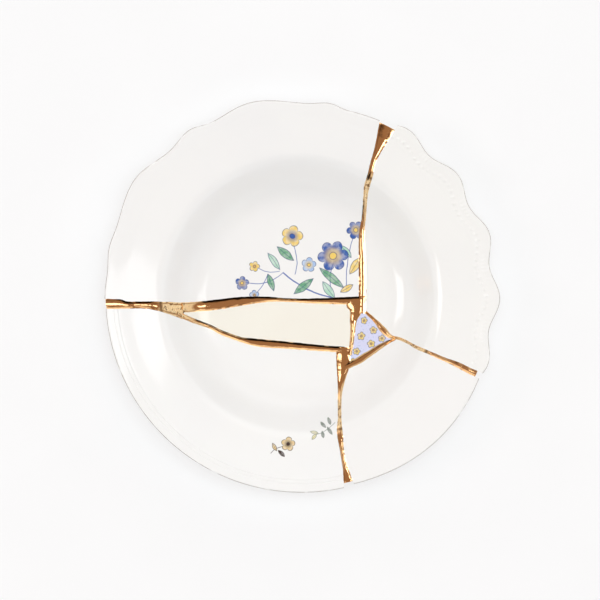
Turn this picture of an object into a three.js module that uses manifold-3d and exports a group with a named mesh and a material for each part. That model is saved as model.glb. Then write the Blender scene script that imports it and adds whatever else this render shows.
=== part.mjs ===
import * as THREE from "three";
import { mergeVertices } from "three/addons/utils/BufferGeometryUtils.js";
import Module from "manifold-3d";

// A deep plate put together from shards of four different plates and two inlaid
// pieces, with a sunk gold seam that fills the cracks between them.
// Millimetres, +Z up, origin under the middle of the outline.

const wasm = await Module();
wasm.setup();

// Plate
const plateRadius = 127.4;
const wellRadius = 90.3;
const wellOffset = -1.5;
const wellDepth = 24;
const floorRadius = 56;
const wallThickness = 4;
const footHeight = 2.5;
const footRadius = 60;
const footWidth = 4;
const footDraft = 0.8;

// How the wall leaves the floor and how it reaches the well's upper edge
const wallFootSweep = 17.8;
const wallTopRun = 13;
const wallTopDrop = 13.9;

// Rim, from the well's edge out to the lip
const rimRise = 7.5;
const rimEase = 3;
const rollWidth = 12;
const rollRise = 3.2;
const lipThickness = 3;

const floorHeight = footHeight + wallThickness;
const wellEdgeHeight = floorHeight + wellDepth;
const plateHeight = wellEdgeHeight + rimRise;

// Rim of each shard: how far the edge stands out from the plate radius
const broadLobes = [
  [60, -1.6], [76, -2.3], [82, 0], [88, -1.4], [105, 3.3], [117, 0.3], [124, 3.3],
  [132, 0.5], [145, 5.2], [160, 1.2], [165, 1.8], [173, -0.1], [180, 0.5], [190, 0.5],
];
const scallopPitch = 19.3;
const scallopCrestAngle = -0.6;
const scallopDepth = 2.6;
const scallopInset = 0.7;
const plainRimBulge = 1.3;
const plainRimAngle = -45;
const plainRimSpan = 40;
const bandWidth = 7.8;
const bandGrooveDepth = 0.6;
const bandGrooveEdge = 0.6;
const bandGrooveSlope = 6;

// Gold seam
const seamRecess = 0.8;
const seamUnderRecess = 0.3;
const seamRimInset = 2.9;
const seamClearance = 0.3;
const leftEndReach = 3;
const leftEndSpan = 12;
const cutOverrun = 10;

// Fineness of the turned surfaces
const turnSteps = 120;
const wallSteps = 6;
const lipSteps = 4;

// The cracks as seen from straight above, in photo pixels: x, y and width, from
// one end of the crack to the other. The plate's radius covers photoRadius pixels.
const photoCentre = [301.3, 296.8];
const photoRadius = 196;
const cracks = {
  left: [
    [62, 304, 10], [119, 304, 9.8], [126, 305, 7.4], [147, 305.1, 7.6],
    [163, 307, 10.8], [183, 311, 17],
  ],
  top: [
    [403.4, 84.6, 33.8], [385.8, 130, 15.6], [382, 140, 11.6], [377.8, 150.5, 7.6],
    [373, 163, 5.3], [370.4, 175, 5.7], [367.4, 185, 5.8], [366.2, 195, 4.5],
    [364.6, 217, 4.3], [362.6, 233, 5.7], [363.1, 260, 7.2], [363.3, 290, 7.5],
    [362.8, 313.7, 7.2],
  ],
  right: [
    [395, 337.8, 3], [402, 339.6, 3.2], [410, 343.4, 2.8], [417, 347.6, 3.5],
    [430, 353, 3.6], [446, 360, 4], [458, 364.9, 5.6], [470, 371, 6.2], [528, 397, 6.9],
  ],
  bottom: [
    [343.5, 348, 14], [344, 362, 14.5], [343.3, 370, 12.4], [342.2, 378, 9],
    [340.9, 390, 5.3], [340.1, 400, 4], [339.9, 420, 3.7], [339.7, 428, 5.4],
    [340.3, 436, 6], [341.7, 448, 4.5], [343.6, 460, 4.2], [345.8, 470, 5.9],
    [348, 481, 9], [357.4, 528, 19.5],
  ],
  creamUpper: [
    [181, 307.7, 10.4], [200, 306.4, 10.2], [215, 304.8, 10.4], [235, 302, 9.6],
    [252, 300.2, 7.6], [270, 299.3, 5.2], [286, 300, 3.8], [310, 300.9, 5],
    [345, 300.8, 7.6], [361, 300.3, 8],
  ],
  creamLower: [
    [181, 315.8, 5], [190, 320, 4.8], [210, 327.7, 4.2], [219, 332.4, 4.8],
    [240, 340, 5.2], [257, 343.3, 8], [285, 345.7, 7.5], [320, 348.7, 6.2],
    [345, 350.5, 6],
  ],
  creamEnd: [
    [353, 299.5, 12], [353.5, 305, 13], [355, 313, 10], [354.2, 320, 7.6],
    [353.6, 330, 5.4], [352.2, 345, 4.2], [350.5, 356, 4],
  ],
  triangleUpper: [
    [366.5, 312, 3], [377, 321.8, 4.2], [384.5, 330.5, 6.6], [391.5, 337, 4.4],
    [398, 338.4, 2.4],
  ],
  triangleLower: [
    [396.5, 339.3, 2.6], [389, 343, 3.6], [383, 346.2, 5], [372, 353.3, 6.3],
    [361, 360.5, 7.2], [353, 364.6, 6.6], [346, 368, 7],
  ],
};

// Where the middle of each shard shows, in the same pixels
const middles = {
  upperLeft: [242, 202],
  upperRight: [433, 250],
  lowerRight: [410, 411],
  lowerLeft: [223, 400],
  creamWedge: [267, 325],
  blueTriangle: [371, 338],
};

const shards = [
  {
    name: "upper_left_shard", middle: middles.upperLeft, rim: broadLobedRim,
    color: 0xf3f1ef, roughness: 0.14,
  },
  {
    name: "upper_right_shard", middle: middles.upperRight, rim: scallopedRim,
    color: 0xf4f2ee, roughness: 0.16,
  },
  {
    name: "lower_right_shard", middle: middles.lowerRight, rim: plainRim,
    color: 0xf5f3f0, roughness: 0.14,
  },
  {
    name: "lower_left_shard", middle: middles.lowerLeft, rim: roundRim, banded: true,
    color: 0xf4f3f1, roughness: 0.15,
  },
  {
    name: "cream_wedge_shard", middle: middles.creamWedge, rim: roundRim,
    color: 0xf6f2e7, roughness: 0.2,
  },
  {
    name: "blue_triangle_shard", middle: middles.blueTriangle, rim: roundRim,
    color: 0xc9d4ec, roughness: 0.2,
  },
];

function planPoint([x, y]) {
  const scale = plateRadius / photoRadius;
  return new THREE.Vector2((x - photoCentre[0]) * scale, (photoCentre[1] - y) * scale);
}

function bump(angle, middle, halfSpan) {
  const share = Math.abs(angle - middle) / halfSpan;
  return share < 1 ? 0.5 + 0.5 * Math.cos(Math.PI * share) : 0;
}

// Rim outlines: edge radius at an angle in degrees, from -180 to 180

function roundRim() {
  return plateRadius;
}

function broadLobedRim(angle) {
  const turned = angle < -90 ? angle + 360 : angle;
  const next = broadLobes.findIndex(([lobeAngle]) => lobeAngle >= turned);
  if (next < 1) return plateRadius;
  const [startAngle, start] = broadLobes[next - 1];
  const [endAngle, end] = broadLobes[next];
  const share = (turned - startAngle) / (endAngle - startAngle);
  return plateRadius + THREE.MathUtils.lerp(start, end, THREE.MathUtils.smoothstep(share, 0, 1));
}

function scallopedRim(angle) {
  const phase = (2 * Math.PI * (angle - scallopCrestAngle)) / scallopPitch;
  return plateRadius - scallopInset + scallopDepth * Math.cos(phase);
}

function plainRim(angle) {
  return plateRadius - plainRimBulge + 2 * plainRimBulge * bump(angle, plainRimAngle, plainRimSpan);
}

function seamRim(angle) {
  const turned = angle < 0 ? angle + 360 : angle;
  return plateRadius - seamRimInset + leftEndReach * bump(turned, 180, leftEndSpan);
}

// Turned section, from the middle of the underside out to the lip and back over the top

function wallCurve() {
  return new THREE.CubicBezierCurve(
    new THREE.Vector2(floorRadius, floorHeight),
    new THREE.Vector2(floorRadius + wallFootSweep, floorHeight),
    new THREE.Vector2(wellRadius - wallTopRun, wellEdgeHeight - wallTopDrop),
    new THREE.Vector2(wellRadius, wellEdgeHeight),
  );
}

// Height of the rim's plain upper surface: a gentle slope, then the roll up to the lip
function rimHeight(radius) {
  const rollStart = plateRadius - rollWidth;
  const rollFoot = plateHeight - rollRise;
  if (radius > rollStart) {
    return THREE.MathUtils.mapLinear(radius, rollStart, plateRadius, rollFoot, plateHeight);
  }
  return THREE.MathUtils.mapLinear(radius, wellRadius, rollStart, wellEdgeHeight, rollFoot);
}

function rimLine(banded) {
  const onRim = (radius, sunkBy = 0) => new THREE.Vector2(radius, rimHeight(radius) - sunkBy);
  const inner = onRim(wellRadius + rimEase);
  const lip = new THREE.Vector2(plateRadius - lipThickness / 2, plateHeight);
  if (!banded) return [inner, onRim(plateRadius - rollWidth), lip];
  const bandEdge = plateRadius - bandWidth;
  const grooveFoot = bandEdge - bandGrooveEdge;
  return [
    inner,
    onRim(grooveFoot - bandGrooveSlope),
    onRim(grooveFoot, bandGrooveDepth),
    onRim(bandEdge),
    lip,
  ];
}

// Points of the upper surface moved square to it, into the material
function sunk(points, depthAt) {
  return points.map((point, i) => {
    const before = points[Math.max(i - 1, 0)];
    const after = points[Math.min(i + 1, points.length - 1)];
    const along = after.clone().sub(before).normalize();
    const depth = depthAt(point);
    return new THREE.Vector2(point.x + along.y * depth, point.y - along.x * depth);
  });
}

function lipArc(topRecess) {
  const middle = new THREE.Vector2(plateRadius - lipThickness / 2, plateHeight - lipThickness / 2);
  const points = [];
  for (let i = 0; i <= lipSteps; i += 1) {
    const angle = -Math.PI / 2 + (Math.PI * i) / lipSteps;
    const reach = angle > 0 ? lipThickness / 2 - topRecess * Math.sin(angle) : lipThickness / 2;
    points.push(new THREE.Vector2(
      middle.x + (lipThickness / 2) * Math.cos(angle),
      middle.y + reach * Math.sin(angle),
    ));
  }
  return points;
}

function section({ banded = false, topRecess = 0, underRecess = 0 }) {
  const wall = wallCurve().getPoints(wallSteps);
  const plainTop = [...wall, ...rimLine(false)];
  const shownTop = [...wall, ...rimLine(banded)];
  const thicknessAt = ({ x }) => {
    const share = THREE.MathUtils.clamp((x - wellRadius) / (plateRadius - wellRadius), 0, 1);
    return THREE.MathUtils.lerp(wallThickness, lipThickness, share) - underRecess;
  };
  const footInner = footRadius - footWidth;
  const underside = footHeight + underRecess;
  const under = sunk(plainTop, thicknessAt).filter(({ x }) => x > footRadius + footDraft);
  under.pop();
  const top = sunk(shownTop, () => topRecess);
  top.pop();
  return [
    new THREE.Vector2(0, underside),
    new THREE.Vector2(footInner - footDraft, underside),
    new THREE.Vector2(footInner, underRecess),
    new THREE.Vector2(footRadius, underRecess),
    new THREE.Vector2(footRadius + footDraft, underside),
    ...under,
    ...lipArc(topRecess),
    ...top.reverse(),
    new THREE.Vector2(0, floorHeight - topRecess),
  ];
}

// Solids

function solidFrom(geometry) {
  const bare = geometry.clone();
  bare.deleteAttribute("normal");
  bare.deleteAttribute("uv");
  const merged = mergeVertices(bare, 1e-4);
  const corners = merged.index.array;
  const kept = [];
  for (let i = 0; i < corners.length; i += 3) {
    const [a, b, c] = corners.slice(i, i + 3);
    if (a !== b && b !== c && c !== a) kept.push(a, b, c);
  }
  return new wasm.Manifold(new wasm.Mesh({
    numProp: 3,
    vertProperties: new Float32Array(merged.attributes.position.array),
    triVerts: new Uint32Array(kept),
  }));
}

// A turned plate whose rim runs on, at the same slope, out to the given outline,
// and whose well sits a little to one side of it
function turnedPlate(rim, profile) {
  const geometry = new THREE.LatheGeometry(section(profile), turnSteps);
  geometry.rotateX(Math.PI / 2);
  const position = geometry.attributes.position;
  for (let i = 0; i < position.count; i += 1) {
    const x = position.getX(i);
    const y = position.getY(i);
    const angle = Math.atan2(y, x);
    const radius = Math.hypot(x, y);
    const rimShare = Math.max(0, (radius - wellRadius) / (plateRadius - wellRadius));
    const outward = rimShare * (rim(THREE.MathUtils.radToDeg(angle)) - plateRadius);
    const shift = wellOffset * (1 - Math.min(rimShare, 1));
    position.setX(i, x + outward * Math.cos(angle) + shift);
    position.setY(i, y + outward * Math.sin(angle));
    position.setZ(i, position.getZ(i) + rimHeight(radius + outward) - rimHeight(radius));
  }
  return solidFrom(geometry);
}

// One crack as an upright prism, widened on every side by the margin
function crackPrism(stations, margin) {
  const scale = plateRadius / photoRadius;
  const points = stations.map(planPoint);
  const sides = [[], []];
  points.forEach((point, i) => {
    const before = points[Math.max(i - 1, 0)];
    const after = points[Math.min(i + 1, points.length - 1)];
    const along = after.clone().sub(before).normalize();
    const across = new THREE.Vector2(-along.y, along.x);
    const half = (stations[i][2] * scale) / 2 + margin;
    const end = Number(i === points.length - 1) - Number(i === 0);
    const middle = point.clone().addScaledVector(along, end * margin);
    sides[0].push(middle.clone().addScaledVector(across, half));
    sides[1].push(middle.clone().addScaledVector(across, -half));
  });
  const outline = new THREE.Shape([...sides[1], ...sides[0].reverse()]);
  const depth = plateHeight + 2 * cutOverrun;
  const prism = new THREE.ExtrudeGeometry(outline, { depth, bevelEnabled: false });
  prism.translate(0, 0, -cutOverrun);
  return solidFrom(prism);
}

function crackNetwork(margin) {
  return Object.values(cracks)
    .map((stations) => crackPrism(stations, margin))
    .reduce((network, prism) => network.add(prism));
}

// Of the pieces that the cracks leave, the one whose middle is nearest the place
function pieceAt(pieces, place) {
  const away = (piece) => {
    const { min, max } = piece.boundingBox();
    return place.distanceTo(new THREE.Vector2((min[0] + max[0]) / 2, (min[1] + max[1]) / 2));
  };
  return pieces.reduce((best, piece) => (away(piece) < away(best) ? piece : best));
}

function meshOf(name, solid, look) {
  const { vertProperties, triVerts } = solid.getMesh();
  const geometry = new THREE.BufferGeometry();
  geometry.setAttribute("position", new THREE.BufferAttribute(new Float32Array(vertProperties), 3));
  geometry.setIndex([...triVerts]);
  geometry.computeVertexNormals();
  const mesh = new THREE.Mesh(geometry, new THREE.MeshStandardMaterial(look));
  mesh.name = name;
  return mesh;
}

function shardMesh({ name, middle, rim, banded, color, roughness }, gaps) {
  const pieces = turnedPlate(rim, { banded }).subtract(gaps).decompose();
  return meshOf(name, pieceAt(pieces, planPoint(middle)), { color, roughness, metalness: 0 });
}

function seamMesh() {
  const body = turnedPlate(seamRim, { topRecess: seamRecess, underRecess: seamUnderRecess });
  const seam = body.intersect(crackNetwork(0));
  return meshOf("gold_seam", seam, { color: 0xb8803f, roughness: 0.12, metalness: 1 });
}

const plate = new THREE.Group();
const gaps = crackNetwork(seamClearance);
shards.forEach((shard) => plate.add(shardMesh(shard, gaps)));
plate.add(seamMesh());

const box = new THREE.Box3().setFromObject(plate);
const middle = box.getCenter(new THREE.Vector3());
plate.position.set(-middle.x, -middle.y, -box.min.z);

export default plate;
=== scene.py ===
import math

import bmesh
import bpy
import numpy
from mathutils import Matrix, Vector, noise


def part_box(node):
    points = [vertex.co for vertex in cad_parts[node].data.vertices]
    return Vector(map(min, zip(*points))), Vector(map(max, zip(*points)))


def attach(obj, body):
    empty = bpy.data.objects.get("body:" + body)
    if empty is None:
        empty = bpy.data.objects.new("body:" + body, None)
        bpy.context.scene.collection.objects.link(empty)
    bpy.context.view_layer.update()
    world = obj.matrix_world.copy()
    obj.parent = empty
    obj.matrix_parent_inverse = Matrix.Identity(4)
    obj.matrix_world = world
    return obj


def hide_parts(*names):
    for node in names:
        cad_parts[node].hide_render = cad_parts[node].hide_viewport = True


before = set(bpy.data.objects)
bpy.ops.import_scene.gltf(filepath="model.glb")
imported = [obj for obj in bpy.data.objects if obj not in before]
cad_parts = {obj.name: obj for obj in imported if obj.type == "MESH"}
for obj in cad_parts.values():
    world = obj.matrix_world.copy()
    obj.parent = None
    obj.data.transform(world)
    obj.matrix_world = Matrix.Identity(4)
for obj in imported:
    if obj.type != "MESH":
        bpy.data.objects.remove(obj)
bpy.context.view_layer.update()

# A deep plate joined from shards of four plates and two inlaid pieces, with gold seams
# between them. Metres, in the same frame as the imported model.

mm = 0.001
mergeDistance = 0.0005 * mm

plate = {
    "radius": 127.4 * mm,
    "wellRadius": 90.3 * mm,
    "wellOffset": -1.5 * mm,
    "wellDepth": 24 * mm,
    "floorRadius": 56 * mm,
    "floorRings": (18 * mm, 38 * mm),
    "wall": 4 * mm,
    "wallFootSweep": 17.8 * mm,
    "wallTopRun": 13 * mm,
    "wallTopDrop": 13.9 * mm,
    "wallSteps": 26,
    "wallReach": 0.92,  # share of the wall's curve that stays clear of the rounded well edge
    "wellEdgeSoftness": 4.2 * mm,
    "rimRise": 7.5 * mm,
    "rollWidth": 12 * mm,
    "rollRise": 3.2 * mm,
    "rollSoftness": 5 * mm,
    "lip": 3 * mm,
    "lipSoftness": 1.4 * mm,
    "footHeight": 2.5 * mm,
    "footRadius": 60 * mm,
    "footWidth": 4 * mm,
    "footDraft": 0.8 * mm,
    "footSoftness": 0.6 * mm,
    "footClearance": mm,
    "softSteps": 6,
    "turns": 480,
    "creaseAngle": 38,
}
floorHeight = plate["footHeight"] + plate["wall"]
wellEdgeHeight = floorHeight + plate["wellDepth"]
lipHeight = wellEdgeHeight + plate["rimRise"]
rollStart = plate["radius"] - plate["rollWidth"]

# The photograph's pixels: its side, the plate's middle, and how many of them its radius covers
photoSize = 600
photoCentre = (301.3, 296.8)
photoRadius = 196
pixel = plate["radius"] / photoRadius


# Rim outlines: the edge's radius at an angle in degrees

broadLobes = [  # degrees, how far the edge stands out
    (60, -1.6 * mm), (76, -2.3 * mm), (82, 0), (88, -1.4 * mm), (105, 3.3 * mm), (117, 0.3 * mm),
    (124, 3.3 * mm), (132, 0.5 * mm), (145, 5.2 * mm), (160, 1.2 * mm), (165, 1.8 * mm),
    (173, -0.1 * mm), (180, 0.5 * mm), (190, 0.5 * mm),
]
scallops = {
    "pitch": 19.3,
    "crestAngle": -0.6,
    "depth": 2.6 * mm,
    "inset": 0.7 * mm,
    "crest": 1.85 * mm,
}
plainBulge = {"reach": 1.3 * mm, "angle": -45, "span": 40}
seamEnds = {"inset": 2.9 * mm, "leftReach": 3 * mm, "leftSpan": 12}


def bump(angle, middle, halfSpan):
    share = abs(angle - middle) / halfSpan
    return 0.5 + 0.5 * math.cos(math.pi * share) if share < 1 else 0


def roundRim(angle):
    return plate["radius"]


def lobedRim(angle):
    turned = angle + 360 if angle < -90 else angle
    for (startAngle, start), (endAngle, end) in zip(broadLobes, broadLobes[1:]):
        if startAngle <= turned < endAngle:
            share = (turned - startAngle) / (endAngle - startAngle)
            return plate["radius"] + start + (end - start) * share * share * (3 - 2 * share)
    return plate["radius"]


def scallopedRim(angle):
    phase = 2 * math.pi * (angle - scallops["crestAngle"]) / scallops["pitch"]
    wave = scallops["depth"] * math.cos(phase) - scallops["inset"]
    return plate["radius"] + min(wave, scallops["crest"])


def plainRim(angle):
    reach = plainBulge["reach"]
    bulge = 2 * reach * bump(angle, plainBulge["angle"], plainBulge["span"])
    return plate["radius"] - reach + bulge


def seamRim(angle):
    turned = angle + 360 if angle < 0 else angle
    leftReach = seamEnds["leftReach"] * bump(turned, 180, seamEnds["leftSpan"])
    return plate["radius"] - seamEnds["inset"] + leftReach


# The outline's middle is the origin, so the plate's own middle lies a little beside it
plateMiddle = Vector((
    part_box("upper_right_shard")[1].x - scallopedRim(0),
    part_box("lower_left_shard")[0].y + plate["radius"],
))


def fromPhoto(x, y):
    return plateMiddle + Vector(((x - photoCentre[0]) * pixel, (photoCentre[1] - y) * pixel))


# The turned section

def wallPoint(share):
    ends = (
        (plate["floorRadius"], floorHeight),
        (plate["floorRadius"] + plate["wallFootSweep"], floorHeight),
        (plate["wellRadius"] - plate["wallTopRun"], wellEdgeHeight - plate["wallTopDrop"]),
        (plate["wellRadius"], wellEdgeHeight),
    )
    rest = 1 - share
    weights = (rest ** 3, 3 * rest * rest * share, 3 * rest * share * share, share ** 3)
    return sum((Vector(end) * weight for end, weight in zip(ends, weights)), Vector((0, 0)))


def rimShare(radius):
    # 0 inside the well, then up to 1 at the lip
    return max(0, (radius - plate["wellRadius"]) / (plate["radius"] - plate["wellRadius"]))


def rimHeight(radius):
    rollFoot = lipHeight - plate["rollRise"]
    if radius > rollStart:
        return rollFoot + (radius - rollStart) / plate["rollWidth"] * plate["rollRise"]
    share = (radius - plate["wellRadius"]) / (rollStart - plate["wellRadius"])
    return wellEdgeHeight + share * (rollFoot - wellEdgeHeight)


def roundedLine(corners):
    # Joins the corners, rounds the soft ones and gives the points in order
    bm = bmesh.new()
    verts = [bm.verts.new((radius, 0, height)) for radius, height, softness in corners]
    for pair in zip(verts, verts[1:]):
        bm.edges.new(pair)
    vert, edge = verts[0], None
    for soft, corner in zip(verts, corners):
        if corner[2]:
            bmesh.ops.bevel(bm, geom=[soft], offset=corner[2], offset_type="OFFSET",
                            segments=plate["softSteps"], profile=0.5, affect="VERTICES", material=-1)
    line = [(vert.co.x, vert.co.z)]
    while onward := [e for e in vert.link_edges if e is not edge]:
        edge = onward[0]
        vert = edge.other_vert(vert)
        line.append((vert.co.x, vert.co.z))
    bm.free()
    return line


def refined(line, zones, spacing):
    # More points on the upper side, where the relief needs them
    points = [line[0]]
    for start, end in zip(line, line[1:]):
        middle = (start[0] + end[0]) / 2
        upper = (start[1] + end[1]) / 2 > rimHeight(middle) - plate["lip"] / 2
        cuts = 1
        if upper and any(low < middle < high for low, high in zones):
            cuts = math.ceil(math.dist(start, end) / spacing)
        points += [
            (start[0] + (end[0] - start[0]) * i / cuts, start[1] + (end[1] - start[1]) * i / cuts)
            for i in range(1, cuts + 1)
        ]
    return points


def undersideCorners(topLine):
    # The upper surface moved square to itself by the wall's thickness
    corners = []
    for before, point, after in zip(topLine, topLine[1:], topLine[2:]):
        along = (after - before).normalized()
        share = rimShare(point.x)
        thickness = plate["wall"] + share * (plate["lip"] - plate["wall"])
        corner = Vector((point.x + along.y * thickness, point.y - along.x * thickness))
        if corner.x > plate["footRadius"] + plate["footDraft"] + plate["footClearance"]:
            corners.append((corner.x, corner.y, 0))
    return corners


def section(rimPoints=()):
    steps = plate["wallSteps"]
    wall = [wallPoint(plate["wallReach"] * i / steps) for i in range(steps + 1)]
    wellEdge = Vector((plate["wellRadius"], wellEdgeHeight))
    rollFoot = Vector((rollStart, rimHeight(rollStart)))
    lipCorner = Vector((plate["radius"], lipHeight))
    footInner = plate["footRadius"] - plate["footWidth"]
    soft = plate["footSoftness"]
    rim = rimPoints or [(rollStart, rollFoot.y, plate["rollSoftness"])]
    return roundedLine([
        (0, plate["footHeight"], 0),
        (footInner - plate["footDraft"], plate["footHeight"], soft),
        (footInner, 0, soft),
        (plate["footRadius"], 0, soft),
        (plate["footRadius"] + plate["footDraft"], plate["footHeight"], soft),
        *undersideCorners([*wall, wellEdge, rollFoot, lipCorner]),
        (plate["radius"], lipHeight - plate["lip"], plate["lipSoftness"]),
        (plate["radius"], lipHeight, plate["lipSoftness"]),
        *rim,
        (plate["wellRadius"], wellEdgeHeight, plate["wellEdgeSoftness"]),
        *((point.x, point.y, 0) for point in reversed(wall)),
        *((ring, floorHeight, 0) for ring in reversed(plate["floorRings"])),
        (0, floorHeight, 0),
    ])


def upperSide(line):
    outermost = max(range(len(line)), key=lambda i: line[i][0])
    rising = line[:outermost - 1:-1]
    return [point[0] for point in rising], [point[1] for point in rising]


plainUpper = upperSide(section())


def outerRadius(place):
    # Distance from the plate's axis, with the well's own axis taken inside the rim
    radius = (place - plateMiddle).length
    for again in range(3):
        shifted = plateMiddle + Vector((plate["wellOffset"] * (1 - min(rimShare(radius), 1)), 0))
        radius = (place - shifted).length
    return radius


def surfaceHeight(place):
    radius = outerRadius(place)
    if radius > rollStart:
        return rimHeight(radius)
    return float(numpy.interp(radius, *plainUpper))


# Solids

def asObject(name, bm):
    mesh = bpy.data.meshes.new(name)
    bm.to_mesh(mesh)
    bm.free()
    made = bpy.data.objects.new(name, mesh)
    bpy.context.scene.collection.objects.link(made)
    return made


def evaluated(obj):
    graph = bpy.context.evaluated_depsgraph_get()
    return bpy.data.meshes.new_from_object(obj.evaluated_get(graph))


def turnedPlate(name, rim, line, turns, relief=None):
    # The section turned round the axis, then its rim drawn out to the given outline
    bm = bmesh.new()
    verts = [bm.verts.new((radius, 0, height)) for radius, height in line]
    for pair in zip(verts, verts[1:]):
        bm.edges.new(pair)
    body = asObject(name, bm)
    turn = body.modifiers.new("turn", "SCREW")
    turn.steps = turn.render_steps = turns
    turn.use_merge_vertices = True
    turn.merge_threshold = mergeDistance
    bm = bmesh.new()
    bm.from_mesh(evaluated(body))
    body.modifiers.clear()
    bmesh.ops.remove_doubles(bm, verts=bm.verts, dist=mergeDistance)
    for vert in bm.verts:
        x, y, z = vert.co
        radius, angle = math.hypot(x, y), math.atan2(y, x)
        share = rimShare(radius)
        outward = share * (rim(math.degrees(angle)) - plate["radius"])
        shift = plate["wellOffset"] * (1 - min(share, 1))
        vert.co.x += plateMiddle.x + outward * math.cos(angle) + shift
        vert.co.y += plateMiddle.y + outward * math.sin(angle)
        vert.co.z += rimHeight(radius + outward) - rimHeight(radius)
        if relief and z > rimHeight(radius) - plate["lip"] / 2:
            vert.co.z += relief(math.degrees(angle), radius + outward)
    bmesh.ops.recalc_face_normals(bm, faces=bm.faces)
    bm.to_mesh(body.data)
    bm.free()
    return body


def combined(obj, operation, others):
    for other in others:
        step = obj.modifiers.new(other.name, "BOOLEAN")
        step.operation = operation
        step.solver = "MANIFOLD"
        step.object = other
    mesh = evaluated(obj)
    obj.modifiers.clear()
    obj.data = mesh
    return obj


def discard(objects):
    for obj in objects:
        bpy.data.objects.remove(obj)


# Cracks as seen from straight above, in photo pixels: x, y and width

cracks = {
    "left": [(62, 304, 10), (119, 304, 9.8), (126, 305, 7.4), (147, 305.1, 7.6), (163, 307, 10.8),
             (183, 311, 17)],
    "top": [(403.4, 84.6, 33.8), (385.8, 130, 15.6), (382, 140, 11.6), (377.8, 150.5, 7.6),
            (373, 163, 5.3), (370.4, 175, 5.7), (367.4, 185, 5.8), (366.2, 195, 4.5),
            (364.6, 217, 4.3), (362.6, 233, 5.7), (363.1, 260, 7.2), (363.3, 290, 7.5),
            (362.8, 313.7, 7.2)],
    "right": [(395, 337.8, 3), (402, 339.6, 3.2), (410, 343.4, 2.8), (417, 347.6, 3.5),
              (430, 353, 3.6), (446, 360, 4), (458, 364.9, 5.6), (470, 371, 6.2), (528, 397, 6.9)],
    "bottom": [(343.5, 348, 14), (344, 362, 14.5), (343.3, 370, 12.4), (342.2, 378, 9),
               (340.9, 390, 5.3), (340.1, 400, 4), (339.9, 420, 3.7), (339.7, 428, 5.4),
               (340.3, 436, 6), (341.7, 448, 4.5), (343.6, 460, 4.2), (345.8, 470, 5.9),
               (348, 481, 9), (357.4, 528, 19.5)],
    "creamUpper": [(181, 307.7, 10.4), (200, 306.4, 10.2), (215, 304.8, 10.4), (235, 302, 9.6),
                   (252, 300.2, 7.6), (270, 299.3, 5.2), (286, 300, 3.8), (310, 300.9, 5),
                   (345, 300.8, 7.6), (361, 300.3, 8)],
    "creamLower": [(181, 315.8, 5), (190, 320, 4.8), (210, 327.7, 4.2), (219, 332.4, 4.8),
                   (240, 340, 5.2), (257, 343.3, 8), (285, 345.7, 7.5), (320, 348.7, 6.2),
                   (345, 350.5, 6)],
    "creamEnd": [(355, 299.5, 16), (356, 305, 18), (356.5, 311, 13), (354.2, 320, 7.6),
                 (353.6, 330, 5.4), (352.2, 345, 4.2), (350.5, 356, 4)],
    "triangleUpper": [(366.5, 312, 3), (377, 321.8, 4.2), (384.5, 330.5, 6.6), (391.5, 337, 4.4),
                      (398, 338.4, 2.4)],
    "triangleLower": [(396.5, 339.3, 2.6), (389, 343, 3.6), (383, 346.2, 5), (372, 353.3, 6.3),
                      (361, 360.5, 7.2), (353, 364.6, 6.6), (346, 368, 7)],
}
crackShape = {
    "spacing": 0.8 * mm,
    "wander": 0.16 * mm,       # how far each edge strays
    "wanderLength": 2.6 * mm,
    "below": -5 * mm,
    "above": 55 * mm,
}


def smoothThrough(points, knots, reach):
    # A smooth curve through the points, at a distance from the first
    last = len(points) - 1
    i = max(k for k in range(last) if knots[k] <= reach)
    span = knots[i + 1] - knots[i]
    slopes = []
    for k in (i, i + 1):
        before, after = max(k - 1, 0), min(k + 1, last)
        slopes.append((points[after] - points[before]) / (knots[after] - knots[before]) * span)
    t = (reach - knots[i]) / span
    rest = 1 - t
    return (points[i] * (1 + 2 * t) * rest * rest + slopes[0] * t * rest * rest
            + points[i + 1] * t * t * (3 - 2 * t) - slopes[1] * t * t * rest)


def crackPath(stations):
    # Middle, direction across and half widths to both sides, station by station
    points = [Vector((*fromPhoto(x, y), width * pixel / 2)) for x, y, width in stations]
    knots = [0]
    for start, end in zip(points, points[1:]):
        knots.append(knots[-1] + (end.xy - start.xy).length)
    count = round(knots[-1] / crackShape["spacing"])
    samples = [smoothThrough(points, knots, knots[-1] * i / count) for i in range(count + 1)]
    path = []
    for i, sample in enumerate(samples):
        before, after = samples[max(i - 1, 0)], samples[min(i + 1, count)]
        along = (after.xy - before.xy).normalized()
        across = Vector((-along.y, along.x))
        stray = []
        for side in (-1, 1):
            spot = (sample.xy + across * side * sample.z).to_3d()
            stray.append(crackShape["wander"] * noise.noise(spot / crackShape["wanderLength"]))
        path.append((sample.xy, across, sample.z + stray[0], sample.z + stray[1]))
    return path


crackPaths = {name: crackPath(stations) for name, stations in cracks.items()}


def ribbon(name, path, columns, place, top):
    # A grid laid along the path, then drawn up to the given height as a closed solid
    bm = bmesh.new()
    rows = len(path)
    bmesh.ops.create_grid(bm, x_segments=rows - 1, y_segments=columns - 1, size=1)
    for vert in bm.verts:
        row = round((vert.co.x + 1) / 2 * (rows - 1))
        column = round((vert.co.y + 1) / 2 * (columns - 1))
        vert.co = place(path[row], column)
    raised = bmesh.ops.extrude_face_region(bm, geom=bm.faces[:])["geom"]
    for vert in raised:
        if isinstance(vert, bmesh.types.BMVert):
            vert.co.z = top
    bmesh.ops.recalc_face_normals(bm, faces=bm.faces)
    return asObject(name, bm)


def crackPrism(name, path, trim=0):
    def edge(station, column):
        middle, across, left, right = station
        place = middle + across * ((right - trim) if column else (trim - left))
        return Vector((place.x, place.y, crackShape["below"]))
    return ribbon(name, path, 2, edge, crackShape["above"])


def crackNetwork(trim=0):
    prisms = [crackPrism("crack_" + name, path, trim) for name, path in crackPaths.items()]
    network = combined(prisms[0], "UNION", prisms[1:])
    discard(prisms[1:])
    return network


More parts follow.
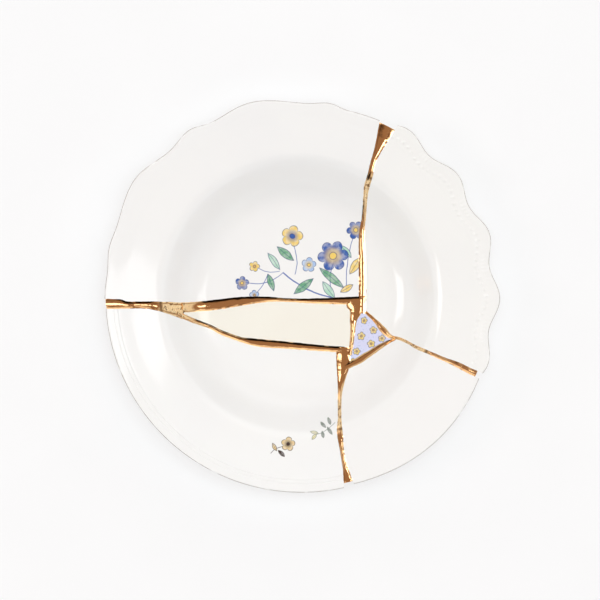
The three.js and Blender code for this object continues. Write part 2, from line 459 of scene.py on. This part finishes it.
def keepNearest(obj, place):
    # Of the pieces that the cracks leave, only the one over the place stays
    bm = bmesh.new()
    bm.from_mesh(obj.data)
    bmesh.ops.remove_doubles(bm, verts=bm.verts, dist=mergeDistance)
    nearest = min(bm.verts, key=lambda vert: (vert.co.xy - place).length)
    found, waiting = {nearest}, [nearest]
    while waiting:
        vert = waiting.pop()
        for edge in vert.link_edges:
            other = edge.other_vert(vert)
            if other not in found:
                found.add(other)
                waiting.append(other)
    bmesh.ops.delete(bm, geom=[vert for vert in bm.verts if vert not in found], context="VERTS")
    bm.to_mesh(obj.data)
    bm.free()


def smoothed(obj, creaseAngle):
    obj.data.shade_smooth()
    obj.data.set_sharp_from_angle(angle=math.radians(creaseAngle))


# Camera: straight down, with the photograph's frame 0.39 m wide at the rim

view = {"lens": 200, "sensor": 36, "width": photoSize * pixel, "clipEnd": 20}


def addCamera():
    camera = bpy.data.objects.new("camera", bpy.data.cameras.new("camera"))
    camera.data.lens = view["lens"]
    camera.data.sensor_width = view["sensor"]
    camera.data.clip_end = view["clipEnd"]
    middle = fromPhoto(photoSize / 2, photoSize / 2)
    height = lipHeight + view["lens"] / view["sensor"] * view["width"]
    camera.location = (middle.x, middle.y, height)
    bpy.context.scene.collection.objects.link(camera)
    bpy.context.scene.camera = camera


addCamera()
print("camera placed")


# Shader maths as Python: a Wire is one socket, and sums on it add Math nodes

class Wire:
    def __init__(self, paint, socket):
        self.paint = paint
        self.socket = socket

    def math(self, operation, *values):
        return self.paint.node("ShaderNodeMath", {"operation": operation}, dict(enumerate(values)))

    def __add__(self, other):
        return self.math("ADD", self, other)

    def __sub__(self, other):
        return self.math("SUBTRACT", self, other)

    def __rsub__(self, other):
        return self.math("SUBTRACT", other, self)

    def __mul__(self, other):
        return self.math("MULTIPLY", self, other)

    def __pow__(self, other):
        return self.math("POWER", self, other)

    __radd__ = __add__
    __rmul__ = __mul__

    def absolute(self):
        return self.math("ABSOLUTE", self)

    def cosine(self):
        return self.math("COSINE", self)

    def most(self, other):
        return self.math("MAXIMUM", self, other)

    def least(self, other):
        return self.math("MINIMUM", self, other)

    def fade(self, start, end, low=0.0, high=1.0):
        # From low at start to high at end, smoothly
        return self.paint.node(
            "ShaderNodeMapRange", {"interpolation_type": "SMOOTHSTEP"},
            {"Value": self, "From Min": start, "From Max": end, "To Min": low, "To Max": high},
        )


class Paint:
    # One material and the nodes in it
    def __init__(self, name, **shader):
        self.material = bpy.data.materials.new(name)
        self.material.use_nodes = True
        self.nodes = self.material.node_tree.nodes
        self.links = self.material.node_tree.links
        self.shader = self.nodes["Principled BSDF"]
        for socket, value in shader.items():
            self.shader.inputs[socket.replace("_", " ")].default_value = value
        self.place = self.node("ShaderNodeTexCoord", {}, {}, "Object")

    def node(self, kind, settings, inputs, output=0):
        made = self.nodes.new(kind)
        for name, value in settings.items():
            setattr(made, name, value)
        for socket, value in inputs.items():
            if isinstance(value, Wire):
                self.links.new(value.socket, made.inputs[socket])
            else:
                made.inputs[socket].default_value = value
        return Wire(self, made.outputs[output])

    def noise(self, size, detail=2.0):
        inputs = {"Vector": self.place, "Scale": 1 / size, "Detail": detail}
        return self.node("ShaderNodeTexNoise", {}, inputs, "Fac")

    def attribute(self, name):
        return self.node("ShaderNodeAttribute", {"attribute_name": name}, {}, "Fac")

    def plan(self, wobble, wobbleSize):
        # x and y, each a little astray as a hand's brush is
        x = self.node("ShaderNodeSeparateXYZ", {}, {"Vector": self.place})
        y = Wire(self, x.socket.node.outputs[1])
        inputs = {"Vector": self.place, "Scale": 1 / wobbleSize}
        stray = self.node("ShaderNodeTexNoise", {}, inputs, "Color")
        strayX = self.node("ShaderNodeSeparateColor", {}, {"Color": stray})
        strayY = Wire(self, strayX.socket.node.outputs[1])
        return x + (strayX - 0.5) * wobble, y + (strayY - 0.5) * wobble

    def mix(self, share, under, over):
        colours = {"Factor": share, 6: asColour(under), 7: asColour(over)}
        return self.node("ShaderNodeMix", {"data_type": "RGBA"}, colours, 2)

    def relief(self, height, distance, under=None):
        inputs = {"Height": height, "Distance": distance, "Strength": 1}
        if under:
            inputs["Normal"] = under
        return self.node("ShaderNodeBump", {}, inputs)

    def show(self, **sockets):
        for socket, wire in sockets.items():
            self.links.new(wire.socket, self.shader.inputs[socket.replace("_", " ")])
        return self.material


def asColour(value):
    return value if isinstance(value, Wire) else (*value, 1)


# Glazes

glaze = {
    "roughness": 0.07,
    "roughnessSpread": 0.05,
    "ior": 1.5,
    "driftSize": 45 * mm,
    "driftFade": (0.35, 0.65),
    "fleckSize": 3 * mm,
    "fleckFade": (0.45, 0.75),
    "waveSize": 38 * mm,
    "waveHeight": 0.16 * mm,
    "rippleSize": 7 * mm,
    "rippleHeight": 0.008 * mm,
    "lipLine": (0.1, 0.8),      # where the thin line of painted shade along the lip fades, in millimetres
    "lipReach": 20,
    "lipPatch": 9 * mm,
    "lipPatchFade": (0.25, 0.5),
    "lipStrength": 0.85,
    # The colour of the painted shade along the lip
    "lipColour": (0.32, 0.28, 0.25),
}


def glazed(name, colour, shade):
    # A glossy glaze with a slight drift of tone and gentle waves
    paint = Paint(name, Roughness=glaze["roughness"], IOR=glaze["ior"])
    drift = paint.noise(glaze["driftSize"], 3.0).fade(*glaze["driftFade"])
    paint.ground = paint.mix(drift, colour, shade)
    fleck = paint.noise(glaze["fleckSize"], 4.0).fade(*glaze["fleckFade"])
    paint.gloss = glaze["roughness"] + fleck * glaze["roughnessSpread"]
    waves = paint.relief(paint.noise(glaze["waveSize"], 1.0), glaze["waveHeight"])
    ripples = paint.noise(glaze["rippleSize"])
    paint.surface = paint.relief(ripples, glaze["rippleHeight"], under=waves)
    return paint


def finishGlaze(paint, colour, lip=True):
    # Paint lies on the upper side alone, and a thin grey-brown line of painted shade darkens the lip
    colour = paint.mix(paint.attribute("on_top").fade(0.4, 0.6), paint.ground, colour)
    if lip:
        lipShade = paint.attribute("from_lip").fade(*glaze["lipLine"], 1.0, 0.0)
        lipShade = lipShade * paint.noise(glaze["lipPatch"]).fade(*glaze["lipPatchFade"])
        colour = paint.mix(lipShade * glaze["lipStrength"], colour, glaze["lipColour"])
    return paint.show(Base_Color=colour, Roughness=paint.gloss, Normal=paint.surface)


# Painted flowers. Places and sizes on the shards are in millimetres from the plate's middle, and
# each brush mark is a soft mask

brush = {
    "softness": 0.2,
    "outline": 0.42,
    "outlineInk": 0.85,
    "stemInk": 0.9,
    "heartInk": 0.8,
    "midrib": 0.14,
    "petalDepth": 0.42,       # shares of a blossom's radius
    "heart": 0.24,
    "blush": (0.3, 0.75),
    "blushInk": 0.55,
    "washSize": 3.5 * mm,
    "washFade": (0.35, 0.62, 0.66, 1.0),
    "wobble": 1.1 * mm,
    "wobbleSize": 7 * mm,
    "blue": (0.045, 0.115, 0.40),
    "darkBlue": (0.03, 0.06, 0.19),
    "paleBlue": (0.36, 0.50, 0.76),
    "green": (0.15, 0.38, 0.22),
    "paleGreen": (0.42, 0.66, 0.52),
    "yellow": (0.85, 0.61, 0.16),
    "ochre": (0.66, 0.42, 0.12),
    "tan": (0.74, 0.56, 0.30),
    "straw": (0.80, 0.72, 0.42),
    "grey": (0.22, 0.25, 0.22),
    "dark": (0.06, 0.04, 0.035),
}


def brushed(paint):
    # The spot in millimetres from the plate's middle, and how thick the colour lies there
    x, y = paint.plan(brush["wobble"], brush["wobbleSize"])
    paint.spot = ((x - plateMiddle.x) * (1 / mm), (y - plateMiddle.y) * (1 / mm))
    paint.wash = paint.noise(brush["washSize"], 3.0).fade(*brush["washFade"])


def inside(gap):
    return gap.fade(-brush["softness"], brush["softness"], 1.0, 0.0)


def alongLine(paint, start, end):
    # The share of the way from start to end, and the distance beside it
    length = math.dist(start, end)
    stepX, stepY = (end[0] - start[0]) / length, (end[1] - start[1]) / length
    fromX, fromY = paint.spot[0] - start[0], paint.spot[1] - start[1]
    share = (fromX * stepX + fromY * stepY) * (1 / length)
    return share, fromY * stepX - fromX * stepY


def stem(paint, colour, start, end, bow=0.0, width=0.5, ink=brush["blue"]):
    share, beside = alongLine(paint, start, end)
    bend = share * (1 - share) * (4 * bow)
    beyond = ((share - 0.5).absolute() - 0.5) * math.dist(start, end)
    gap = ((beside - bend).absolute() - width / 2).most(beyond)
    return paint.mix(inside(gap) * brush["stemInk"], colour, ink)


def leaf(paint, colour, start, end, width, fill, ink=brush["darkBlue"]):
    share, beside = alongLine(paint, start, end)
    side = beside.absolute()
    gap = side - share * (1 - share) * (2 * width)
    colour = paint.mix(inside(gap) * paint.wash, colour, fill)
    edge = gap.absolute() - brush["outline"] / 2
    midrib = (side - brush["midrib"]).most(gap)
    return paint.mix(inside(edge.least(midrib)) * brush["outlineInk"], colour, ink)


def blossom(paint, colour, middle, radius, petals, turn, fill, heart, ink=brush["darkBlue"]):
    across, up = paint.spot[0] - middle[0], paint.spot[1] - middle[1]
    away = (across * across + up * up) ** 0.5
    angle = up.math("ARCTAN2", up, across)
    lobe = (angle * (petals / 2) - turn).cosine().absolute() ** 0.5
    deep = brush["petalDepth"] * radius
    gap = away - (lobe * deep + (radius - deep))
    petal, line = inside(gap), inside(gap.absolute() - brush["outline"] / 2)
    colour = paint.mix(petal * paint.wash, colour, fill)
    blushStart, blushEnd = (share * radius for share in brush["blush"])
    blush = away.fade(blushStart, blushEnd, brush["blushInk"], 0.0)
    colour = paint.mix(blush * petal, colour, heart)
    colour = paint.mix(line * brush["outlineInk"], colour, ink)
    core = away - brush["heart"] * radius
    colour = paint.mix(inside(core), colour, heart)
    line = inside(core.absolute() - brush["outline"] / 2)
    return paint.mix(line * brush["heartInk"], colour, ink)


# Shards

def markSides(obj, rim):
    # How far each point is from the lip's upper corner, in millimetres, and which points are on top
    mark = obj.data.attributes.new("from_lip", "FLOAT", "POINT")
    top = obj.data.attributes.new("on_top", "FLOAT", "POINT")
    for vert in obj.data.vertices:
        place = vert.co.xy - plateMiddle
        edge = rim(math.degrees(math.atan2(place.y, place.x)))
        under = max(0, rimHeight(edge) - plate["lipSoftness"] - vert.co.z)
        mark.data[vert.index].value = min((edge - place.length + under) / mm, glaze["lipReach"])
        top.data[vert.index].value = float(vert.co.z > surfaceHeight(vert.co.xy) - plate["lip"] / 2)


def addShard(node, middle, rim, material, gaps, line=None, turns=None, relief=None):
    body = turnedPlate(node + "_glazed", rim, line or section(), turns or plate["turns"], relief)
    combined(body, "DIFFERENCE", [gaps])
    keepNearest(body, fromPhoto(*middle))
    smoothed(body, plate["creaseAngle"])
    markSides(body, rim)
    body.data.materials.clear()
    body.data.materials.append(material)
    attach(body, "root")
    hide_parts(node)
    print(node, "made:", len(body.data.polygons), "faces")


gaps = crackNetwork()
print("cracks joined")

lobed = {"middle": (242, 202), "colour": (0.865, 0.855, 0.845), "shade": (0.855, 0.845, 0.84)}


def flowerSpray(paint):
    # A bough that comes in from the right, with leaves and blossoms on it
    blue, yellow, green = brush["blue"], brush["yellow"], brush["green"]
    paleBlue, paleGreen, ochre = brush["paleBlue"], brush["paleGreen"], brush["ochre"]
    brushed(paint)
    colour = paint.ground
    for start, end, bow, width in (
        ((36, -2), (-12, 16), 5, 0.9), ((-12, 16), (-38, 10), 4, 0.5), ((20, 4), (22, 24), 2, 0.5),
        ((-4, 15), (-6, 36), -2, 0.5), ((30, 3), (35, 42), 2, 0.5), ((-14, 17), (-30, 20), 2, 0.45),
        ((-22, 15), (-30, 2), 1, 0.45),
    ):
        colour = stem(paint, colour, start, end, bow, width)
    for start, end, width, fill in (
        ((8, 12), (-5, 2), 5, green), ((14, 10), (22, -1), 5, paleGreen),
        ((-22, 15), (-18, 4), 4, green), ((-14, 18), (-22, 29), 4, paleGreen),
        ((-5, 24), (-16, 33), 5, green), ((28, 6), (12, 19), 5, green),
        ((32, 15), (39, 26), 5, yellow), ((33, 26), (26, 34), 4, paleGreen),
        ((26, 3), (34, 8), 4, yellow),
    ):
        colour = leaf(paint, colour, start, end, width, fill)
    for middle, radius, petals, turn, fill, heart in (
        ((21, 27), 10, 6, 0.3, blue, yellow), ((-6, 40), 7, 5, 0.2, yellow, blue),
        ((-39, 9), 4.4, 5, 0.6, blue, yellow), ((-31, 20), 3.4, 5, 0.1, yellow, ochre),
        ((5, 21), 4.8, 5, 0.5, paleBlue, yellow), ((36, 44), 6, 6, 0.2, blue, yellow),
        ((-31, 1), 3.2, 5, 0.9, paleBlue, ochre),
    ):
        colour = blossom(paint, colour, middle, radius, petals, turn, fill, heart)
    return colour


lobedGlaze = glazed("glaze_lobed", lobed["colour"], lobed["shade"])
addShard("upper_left_shard", lobed["middle"], lobedRim,
         finishGlaze(lobedGlaze, flowerSpray(lobedGlaze)), gaps)

scalloped = {
    "middle": (433, 250),
    "colour": (0.865, 0.855, 0.835),
    "shade": (0.855, 0.845, 0.83),
    "turns": 1440,
    "spacing": 0.55 * mm,
    "zones": ((90 * mm, 126 * mm),),
    "beadInset": 8.6 * mm,
    "beadRadius": 1.55 * mm,
    "beadHeight": 0.5 * mm,
    "beadPitch": 1.93,
    "dotRing": 98.8 * mm,
    "dotRadius": 0.95 * mm,
    "dotHeight": 0.17 * mm,
    "dotPitch": 2.7,
    "fluteMiddle": 3.3 * mm,
    "fluteHalfLength": 2.7 * mm,
    "fluteHeight": 0.3 * mm,
    "flutePitch": 1.2,
}


def dome(distance, radius, height):
    return height * math.cos(math.pi / 2 * distance / radius) ** 2 if distance < radius else 0


def embossing(angle, radius):
    # Beads that follow the scallops, flutes at the notches and a faint ring of dots round the well
    inset = scallopedRim(angle) - radius
    place = angle - scallops["crestAngle"]
    beadAngle = (round(place / scalloped["beadPitch"] - 0.5) + 0.5) * scalloped["beadPitch"]
    beadAngle += scallops["crestAngle"]
    beside = math.radians(angle - beadAngle) * radius
    beadRadius = scallopedRim(beadAngle) - scalloped["beadInset"]
    away = math.hypot(beside, radius - beadRadius)
    height = dome(away, scalloped["beadRadius"], scalloped["beadHeight"])
    dotAngle = round(angle / scalloped["dotPitch"]) * scalloped["dotPitch"]
    beside = math.radians(angle - dotAngle) * radius
    away = math.hypot(beside, radius - scalloped["dotRing"])
    height += dome(away, scalloped["dotRadius"], scalloped["dotHeight"])
    notch = 0.5 - 0.5 * math.cos(2 * math.pi * place / scallops["pitch"])
    window = bump(inset, scalloped["fluteMiddle"], scalloped["fluteHalfLength"])
    flute = 0.5 + 0.5 * math.cos(2 * math.pi * place / scalloped["flutePitch"])
    return height + scalloped["fluteHeight"] * window * flute * notch ** 2


scallopedGlaze = glazed("glaze_scalloped", scalloped["colour"], scalloped["shade"])
addShard("upper_right_shard", scalloped["middle"], scallopedRim,
         finishGlaze(scallopedGlaze, scallopedGlaze.ground), gaps,
         refined(section(), scalloped["zones"], scalloped["spacing"]), scalloped["turns"], embossing)

plain = {"middle": (410, 411), "colour": (0.865, 0.855, 0.845), "shade": (0.855, 0.845, 0.835)}
plainGlaze = glazed("glaze_plain", plain["colour"], plain["shade"])
addShard("lower_right_shard", plain["middle"], plainRim,
         finishGlaze(plainGlaze, plainGlaze.ground), gaps)

banded = {
    "middle": (223, 400),
    "colour": (0.865, 0.86, 0.85),
    "shade": (0.855, 0.85, 0.845),
    "lineInset": 5.6 * mm,
    "lineWidth": 0.8 * mm,
    "lineDepth": 0.3 * mm,
    "stepInset": 7.8 * mm,
    "stepWidth": 0.6 * mm,
    "stepDepth": 0.55 * mm,
    "stepSlope": 6 * mm,
    "slopeSoftness": 2.5 * mm,
    "softness": 0.22 * mm,
}


def bandedRimPoints():
    outer = plate["radius"] - banded["lineInset"]
    half = banded["lineWidth"] / 2
    step = plate["radius"] - banded["stepInset"]
    stepFoot = step - banded["stepWidth"]
    slopeEnd = stepFoot - banded["stepSlope"]
    soft = banded["softness"]
    return [
        (outer + half, rimHeight(outer + half), soft),
        (outer, rimHeight(outer) - banded["lineDepth"], soft),
        (outer - half, rimHeight(outer - half), soft),
        (step, rimHeight(step), soft),
        (stepFoot, rimHeight(stepFoot) - banded["stepDepth"], soft),
        (slopeEnd, rimHeight(slopeEnd), banded["slopeSoftness"]),
    ]


def smallSprigs(paint):
    # One tan blossom on the rim and a grey-green sprig beside the seam
    dark, tan, grey, straw = brush["dark"], brush["tan"], brush["grey"], brush["straw"]
    brushed(paint)
    colour = stem(paint, paint.ground, (-20, -102), (-8, -97), 1.5, 0.4, dark)
    colour = leaf(paint, colour, (-16, -100.5), (-19, -95.5), 2.2, tan, dark)
    colour = leaf(paint, colour, (-15, -100), (-11, -104), 2.2, dark, dark)
    colour = blossom(paint, colour, (-8.5, -96), 4.6, 5, 0.4, tan, dark, dark)
    colour = stem(paint, colour, (22, -82), (9, -90), 1.2, 0.35, grey)
    for start, end, fill in (
        ((19, -83.5), (17.5, -79), grey), ((16, -85.5), (12.5, -82), grey),
        ((17, -85), (20, -90), grey), ((13.5, -87.5), (14.5, -92), grey),
        ((11, -89), (6, -88), straw), ((10, -89.5), (7, -93), straw),
    ):
        colour = leaf(paint, colour, start, end, 1.9, fill, grey)
    return colour


bandedGlaze = glazed("glaze_banded", banded["colour"], banded["shade"])
addShard("lower_left_shard", banded["middle"], roundRim,
         finishGlaze(bandedGlaze, smallSprigs(bandedGlaze)), gaps, section(bandedRimPoints()))

cream = {"middle": (267, 325), "colour": (0.87, 0.84, 0.76), "shade": (0.86, 0.825, 0.745)}
creamGlaze = glazed("glaze_cream", cream["colour"], cream["shade"])
addShard("cream_wedge_shard", cream["middle"], roundRim,
         finishGlaze(creamGlaze, creamGlaze.ground, lip=False), gaps)

sprinkled = {
    "middle": (371, 338),
    "colour": (0.60, 0.68, 0.88),
    "shade": (0.66, 0.66, 0.86),
    "fleckSize": 1.1 * mm,
    "fleckFade": (0.60, 0.68),
    "fleckInk": 0.5,
    "fleckColour": (0.32, 0.40, 0.62),
    "blossomColour": (0.82, 0.64, 0.20),
}


def yellowBlossoms(paint):
    # Small yellow blossoms and fine grey-blue flecks on the light blue ground
    brushed(paint)
    flecks = paint.noise(sprinkled["fleckSize"]).fade(*sprinkled["fleckFade"])
    colour = paint.mix(flecks * sprinkled["fleckInk"], paint.ground, sprinkled["fleckColour"])
    for middle, radius, turn in (
        ((41.5, -15.5), 2.2, 0.2), ((47.5, -22), 2.5, 0.9), ((39.5, -26), 2.6, 0.5),
        ((53, -27.5), 2.3, 0.3), ((46, -31), 2.6, 1.2), ((36.5, -36), 2.4, 0.1),
        ((34, -42), 1.7, 0.7),
    ):
        fill = sprinkled["blossomColour"]
        colour = blossom(paint, colour, middle, radius, 5, turn, fill, brush["ochre"])
    return colour


sprinkledGlaze = glazed("glaze_sprinkled", sprinkled["colour"], sprinkled["shade"])
addShard("blue_triangle_shard", sprinkled["middle"], roundRim,
         finishGlaze(sprinkledGlaze, yellowBlossoms(sprinkledGlaze), lip=False), gaps)


# Gold seam: a blank that fills the cracks, with a shallow channel swept out along each

gold = {
    "trim": 0.02 * mm,
    "overhang": 0.15 * mm,       # a channel's sides start beyond the gold's edge and above it
    "headroom": 0.2 * mm,
    "edgeDrop": 0.12 * mm,       # where the gold meets the glaze
    "slopeWidth": 0.55 * mm,
    "slopeShare": 0.5,           # of the half width, where a seam is narrow
    "slopeDrop": 0.16 * mm,
    "slopeColumns": (0, 0.4, 0.8, 1),
    "floorDrop": 0.8 * mm,
    "floorColumns": ((0.48, 0.9), (0.85, 1)),  # share of the way in, share of the depth
    "channelStep": 0.03 * mm,    # each channel is this much deeper than the one before
    "calmColumns": 4,            # the unevenness grows over this many
    "wave": 0.16 * mm,
    "waveLength": 4.5 * mm,
    "crinkle": 0.07 * mm,
    "crinkleLength": 1.3 * mm,
    "turns": 360,
    "columns": 14,
    "creaseAngle": 50,
}


def channel(name, path, deeper):
    # Columns run from one edge over the slope to the floor and back up to the other edge
    lastColumn = gold["columns"] - 1

    def place(station, column):
        middle, across, left, right = station
        width, side = (left, -1) if column < lastColumn / 2 else (right, 1)
        fromEdge = min(column, lastColumn - column)
        slope = min(gold["slopeWidth"], width * gold["slopeShare"])
        profile = [(-gold["overhang"], -gold["headroom"])]
        profile += [(slope * share, gold["edgeDrop"] + gold["slopeDrop"] * share)
                    for share in gold["slopeColumns"]]
        profile += [(slope + (width - slope) * share, gold["floorDrop"] * depth)
                    for share, depth in gold["floorColumns"]]
        inset, drop = profile[fromEdge]
        flat = middle + across * side * (width - inset)
        spot = flat.to_3d()
        share = min(fromEdge / gold["calmColumns"], 1) if fromEdge > 1 else 0
        rough = gold["wave"] * noise.noise(spot / gold["waveLength"])
        rough += gold["crinkle"] * noise.noise(spot / gold["crinkleLength"])
        height = surfaceHeight(flat) - drop - share * (rough + deeper)
        return Vector((flat.x, flat.y, height))

    return ribbon("channel_" + name, path, gold["columns"], place, crackShape["above"])


polish = {
    "colour": (0.95, 0.68, 0.38),
    "deepColour": (0.93, 0.62, 0.32),
    "wallSheenColour": (1.0, 0.78, 0.47),
    "creaseShadeColour": (0.42, 0.20, 0.07),
    "darkReflectionColour": (0.16, 0.07, 0.02),
    "deepShadeFade": (0.35, 0.85),    # depths in millimetres over which the gold darkens to painted shade
    "creaseStart": (0.3, 0.4),
    "creaseEnd": (0.5, 0.7),
    "creaseShade": (0.6, 0.25),    # painted shade everywhere, and more of it on the wall
    "depthReach": 5,
    "wallZone": (72 * mm, 78 * mm, 88 * mm, 89.6 * mm),
    "wallSheenShare": 0.7,
    "edgeZone": (0.5 * mm, 1.3 * mm),
    "roughness": 0.07,
    "roughnessSpread": 0.06,
    "patchSize": 5 * mm,
    "patchFade": (0.5, 0.75),
    "patchShare": 0.35,
    "dullFade": (0.35, 0.7),
    "spotSize": 2.1 * mm,
    "spotFade": (0.55, 0.61),
    "spotShade": 0.85,
    "waveSize": 2.2 * mm,
    "waveHeight": 0.045 * mm,
    "crinkleSize": 1.3 * mm,
    "crinkleHeight": 0.16 * mm,
    "scratchSize": 0.6 * mm,
    "scratchHeight": 0.006 * mm,
}


def markGold(obj):
    # Depth under the glaze, in millimetres, and what lies on the steep wall or at the well's edge
    names = ("depth", "steep", "at_edge")
    marks = [obj.data.attributes.new(name, "FLOAT", "POINT") for name in names]
    for vert in obj.data.vertices:
        place = vert.co.xy
        radius = outerRadius(place)
        fromEdge = abs(radius - plate["wellRadius"])
        values = (
            min((surfaceHeight(place) - vert.co.z) / mm, polish["depthReach"]),
            numpy.interp(radius, polish["wallZone"], (0, 1, 1, 0)),
            numpy.interp(fromEdge, polish["edgeZone"], (1, 0)),
        )
        for mark, value in zip(marks, values):
            mark.data[vert.index].value = value


def goldLeaf():
    # Smooth and brown-toned on the floor, with painted shade deeper down and at the slopes' foot;
    # crinkled on the well's wall, lighter there by a painted reflection, with painted dark
    # reflections on the wall and at the well's edge
    paint = Paint("polished_gold", Metallic=1.0, Roughness=polish["roughness"])
    depth, steep = paint.attribute("depth"), paint.attribute("steep")
    # Painted shade: the gold darkens the deeper it lies in its channel
    tone = paint.mix(depth.fade(*polish["deepShadeFade"]), polish["colour"], polish["deepColour"])
    patch = paint.noise(polish["patchSize"], 4.0)
    dark = patch.fade(*polish["patchFade"]) * polish["patchShare"]
    tone = paint.mix(dark, tone, polish["deepColour"])
    # Painted reflection: a lighter gold on the well's wall
    tone = paint.mix(steep * polish["wallSheenShare"], tone, polish["wallSheenColour"])
    # Painted shade: a dark brown line where each channel's slopes meet its floor
    crease = depth.fade(*polish["creaseStart"]) * depth.fade(*polish["creaseEnd"], 1.0, 0.0)
    everywhere, onWall = polish["creaseShade"]
    tone = paint.mix(crease * (steep * onWall + everywhere), tone, polish["creaseShadeColour"])
    # Painted dark reflections: dark specks on the crinkled gold of the wall, and a dark band where
    # the gold crosses the well's edge
    spots = paint.noise(polish["spotSize"], 3.0).fade(*polish["spotFade"]) * steep
    spots = spots.most(paint.attribute("at_edge")) * polish["spotShade"]
    tone = paint.mix(spots, tone, polish["darkReflectionColour"])
    dull = patch.fade(*polish["dullFade"]) * polish["roughnessSpread"]
    surface = paint.relief(paint.noise(polish["waveSize"], 3.0), polish["waveHeight"])
    crinkles = paint.noise(polish["crinkleSize"], 4.0) * steep
    surface = paint.relief(crinkles, polish["crinkleHeight"], under=surface)
    scratches = paint.noise(polish["scratchSize"], 3.0)
    surface = paint.relief(scratches, polish["scratchHeight"], under=surface)
    return paint.show(Base_Color=tone, Roughness=polish["roughness"] + dull, Normal=surface)


def addSeam():
    blank = turnedPlate("gold_seam_leaf", seamRim, section(), gold["turns"])
    network = crackNetwork(gold["trim"])
    combined(blank, "INTERSECT", [network])
    channels = [channel(name, path, i * gold["channelStep"])
                for i, (name, path) in enumerate(crackPaths.items())]
    combined(blank, "DIFFERENCE", channels)
    discard([network, *channels])
    smoothed(blank, gold["creaseAngle"])
    markGold(blank)
    blank.data.materials.clear()
    blank.data.materials.append(goldLeaf())
    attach(blank, "root")
    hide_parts("gold_seam")
    print("gold seam made:", len(blank.data.polygons), "faces")


addSeam()
discard([gaps])


# Table and light

table = {
    "half": 3.0,
    "colour": (0.42, 0.42, 0.425),
    "shade": 0.985,
    "grainSize": 60 * mm,
    "roughness": 0.6,
    "glow": 0.505,
}
light = {
    "zenith": (0.35, 0.215, 0.145),
    "zenithRamp": (0.44, 0.62),
    "side": (0.86, 0.86, 0.86),
    "south": 0.04,
    "southWay": (0, -0.8, 0.6),
    "southReach": (0.35, 0.55),
}
softboxes = {  # place, width and height, brightness
    "softbox_right": ((0.69, 0.1, 1.5), (0.33, 0.75), 2.4),
    "softbox_left": ((-1.18, 0.0, 1.5), (0.5, 0.8), 3.8),
    "window_north": ((0.55, 1.9, 1.5), (2.0, 1.4), 0.8),
    "overhead": ((0.15, 0.15, 2.8), (1.2, 1.2), 7.75),
    "fill_south": ((0, -1.7, 1.7), (1.6, 1.2), 1.4),
}
unmirrored = ("overhead", "fill_south")  # light the glaze without showing in it
tints = {"overhead": (0.82, 1.0, 1.08)}


def addTable():
    bm = bmesh.new()
    bmesh.ops.create_grid(bm, x_segments=8, y_segments=8, size=table["half"])
    top = asObject("table", bm)
    paint = Paint("table_top", Roughness=table["roughness"], Emission_Strength=table["glow"],
                  Emission_Color=(1, 1, 1, 1))
    grain = paint.noise(table["grainSize"], 3.0).fade(0.3, 0.7)
    shaded = tuple(value * table["shade"] for value in table["colour"])
    tone = paint.mix(grain, table["colour"], shaded)
    top.data.materials.append(paint.show(Base_Color=tone))


def addSoftbox(name, place, size, radiance):
    # Faces the plate; its power follows from the brightness it should show
    width, height = size
    lamp = bpy.data.lights.new(name, "AREA")
    lamp.shape = "RECTANGLE"
    lamp.size, lamp.size_y = width, height
    lamp.energy = radiance * math.pi * width * height
    lamp.color = tints.get(name, (1, 1, 1))
    box = bpy.data.objects.new(name, lamp)
    box.location = place
    box.rotation_euler = (-Vector(place)).to_track_quat("-Z", "Y").to_euler()
    box.visible_glossy = name not in unmirrored
    bpy.context.scene.collection.objects.link(box)


def addWorld():
    # A pale tent with a dim opening straight above and a darker side towards the viewer
    world = bpy.data.worlds.new("studio")
    bpy.context.scene.world = world
    world.use_nodes = True
    nodes, links = world.node_tree.nodes, world.node_tree.links
    coords = nodes.new("ShaderNodeTexCoord")
    split = nodes.new("ShaderNodeSeparateXYZ")
    ramp = nodes.new("ShaderNodeValToRGB")
    stops = zip(ramp.color_ramp.elements, light["zenithRamp"], ("side", "zenith"))
    for stop, position, colour in stops:
        stop.position = position
        stop.color = (*light[colour], 1)
    away = nodes.new("ShaderNodeVectorMath")
    away.operation = "DISTANCE"
    away.inputs[1].default_value = light["southWay"]
    dim = nodes.new("ShaderNodeMapRange")
    dim.interpolation_type = "SMOOTHSTEP"
    fades = (*light["southReach"], light["south"], 1)
    for socket, value in zip(("From Min", "From Max", "To Min", "To Max"), fades):
        dim.inputs[socket].default_value = value
    links.new(coords.outputs["Generated"], split.inputs[0])
    links.new(split.outputs[2], ramp.inputs[0])
    links.new(coords.outputs["Generated"], away.inputs[0])
    links.new(away.outputs["Value"], dim.inputs["Value"])
    links.new(ramp.outputs[0], nodes["Background"].inputs["Color"])
    links.new(dim.outputs[0], nodes["Background"].inputs["Strength"])


addTable()
addWorld()
for name, (place, size, radiance) in softboxes.items():
    addSoftbox(name, place, size, radiance)
bpy.context.scene.view_settings.view_transform = "Standard"
print("table and light placed")
